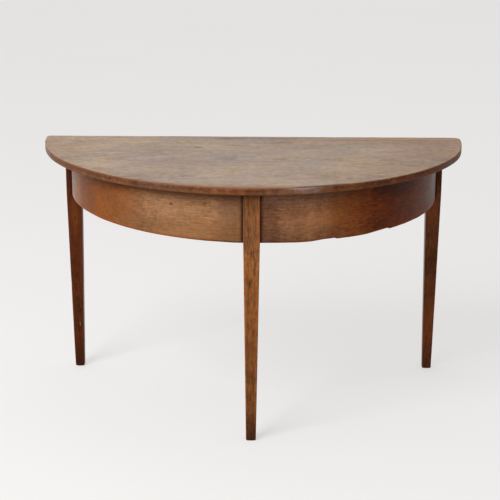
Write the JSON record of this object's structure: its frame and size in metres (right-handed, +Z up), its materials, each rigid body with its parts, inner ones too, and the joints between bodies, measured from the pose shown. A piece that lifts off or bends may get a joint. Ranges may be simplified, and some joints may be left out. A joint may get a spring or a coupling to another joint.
{
  "type": "demilune table",
  "caption": "Half-round oak side table: a flat top with a curved front and a straight back edge, on square tapered legs tenoned to bowed apron rails, made to stand against a wall.",
  "frame": {"origin": "on the floor, under the middle of the top's outline", "axes": "+X to the right seen from the curved front, +Y towards the wall, +Z up"},
  "size_m": [1.2196, 0.6099, 0.715],
  "materials": {
    "oak_top": "sun-bleached oak under worn wax, dull satin",
    "oak_frame": "aged red-brown oak, waxed, satin",
    "softwood": "bare aged softwood, matt",
    "screw_steel": "darkened steel"
  },
  "bodies": {
    "root": {"top_front_board": "oak_top", "top_middle_board": "oak_top", "top_back_board": "oak_top", "front_leg": "oak_frame", "back_leg_left": "oak_frame", "back_leg_right": "oak_frame", "apron_left": "oak_frame", "apron_right": "oak_frame", "back_rail": "softwood", "centre_brace": "softwood", "front_corner_block_left": "softwood", "front_corner_block_right": "softwood", "back_corner_block_left": "softwood", "back_corner_block_right": "softwood", "apron_block_1_left": "softwood", "apron_block_1_right": "softwood", "apron_block_2_left": "softwood", "apron_block_2_right": "softwood", "apron_block_3_left": "softwood", "apron_block_3_right": "softwood", "rail_block_1_left": "softwood", "rail_block_1_right": "softwood", "rail_block_2_left": "softwood", "rail_block_2_right": "softwood", "top_screws": "screw_steel"}
  },
  "joints": []
}
